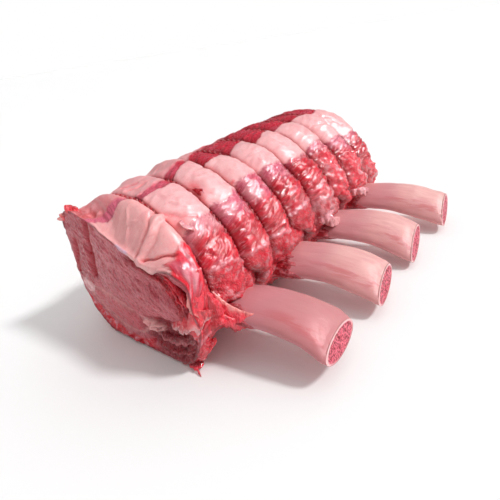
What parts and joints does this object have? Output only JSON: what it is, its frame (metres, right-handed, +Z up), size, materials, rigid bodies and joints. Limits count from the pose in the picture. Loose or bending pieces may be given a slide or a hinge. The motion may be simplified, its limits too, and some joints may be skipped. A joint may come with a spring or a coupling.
{
  "type": "beef rib roast",
  "caption": "Raw frenched beef rib roast, rolled and tied with twine, with curved rib bones standing out along one side.",
  "frame": {"origin": "middle of the bounding box's underside, on the surface that the roast lies on", "axes": "+Y along the roast from the cut face to the far end, +X the way the bones point, +Z up"},
  "size_m": [0.171, 0.2604, 0.0854],
  "materials": {
    "raw_beef": "moist, soft raw meat and fat",
    "bone": "scraped raw bone, slightly moist",
    "twine": "twisted cotton twine"
  },
  "bodies": {
    "root": {"meat": "raw_beef", "rib_1": "bone", "rib_2": "bone", "rib_3": "bone", "rib_4": "bone", "tie_1": "twine", "tie_2": "twine", "tie_3": "twine", "tie_4": "twine", "tie_5": "twine", "tie_6": "twine", "tie_7": "twine", "tie_8": "twine"}
  },
  "joints": []
}
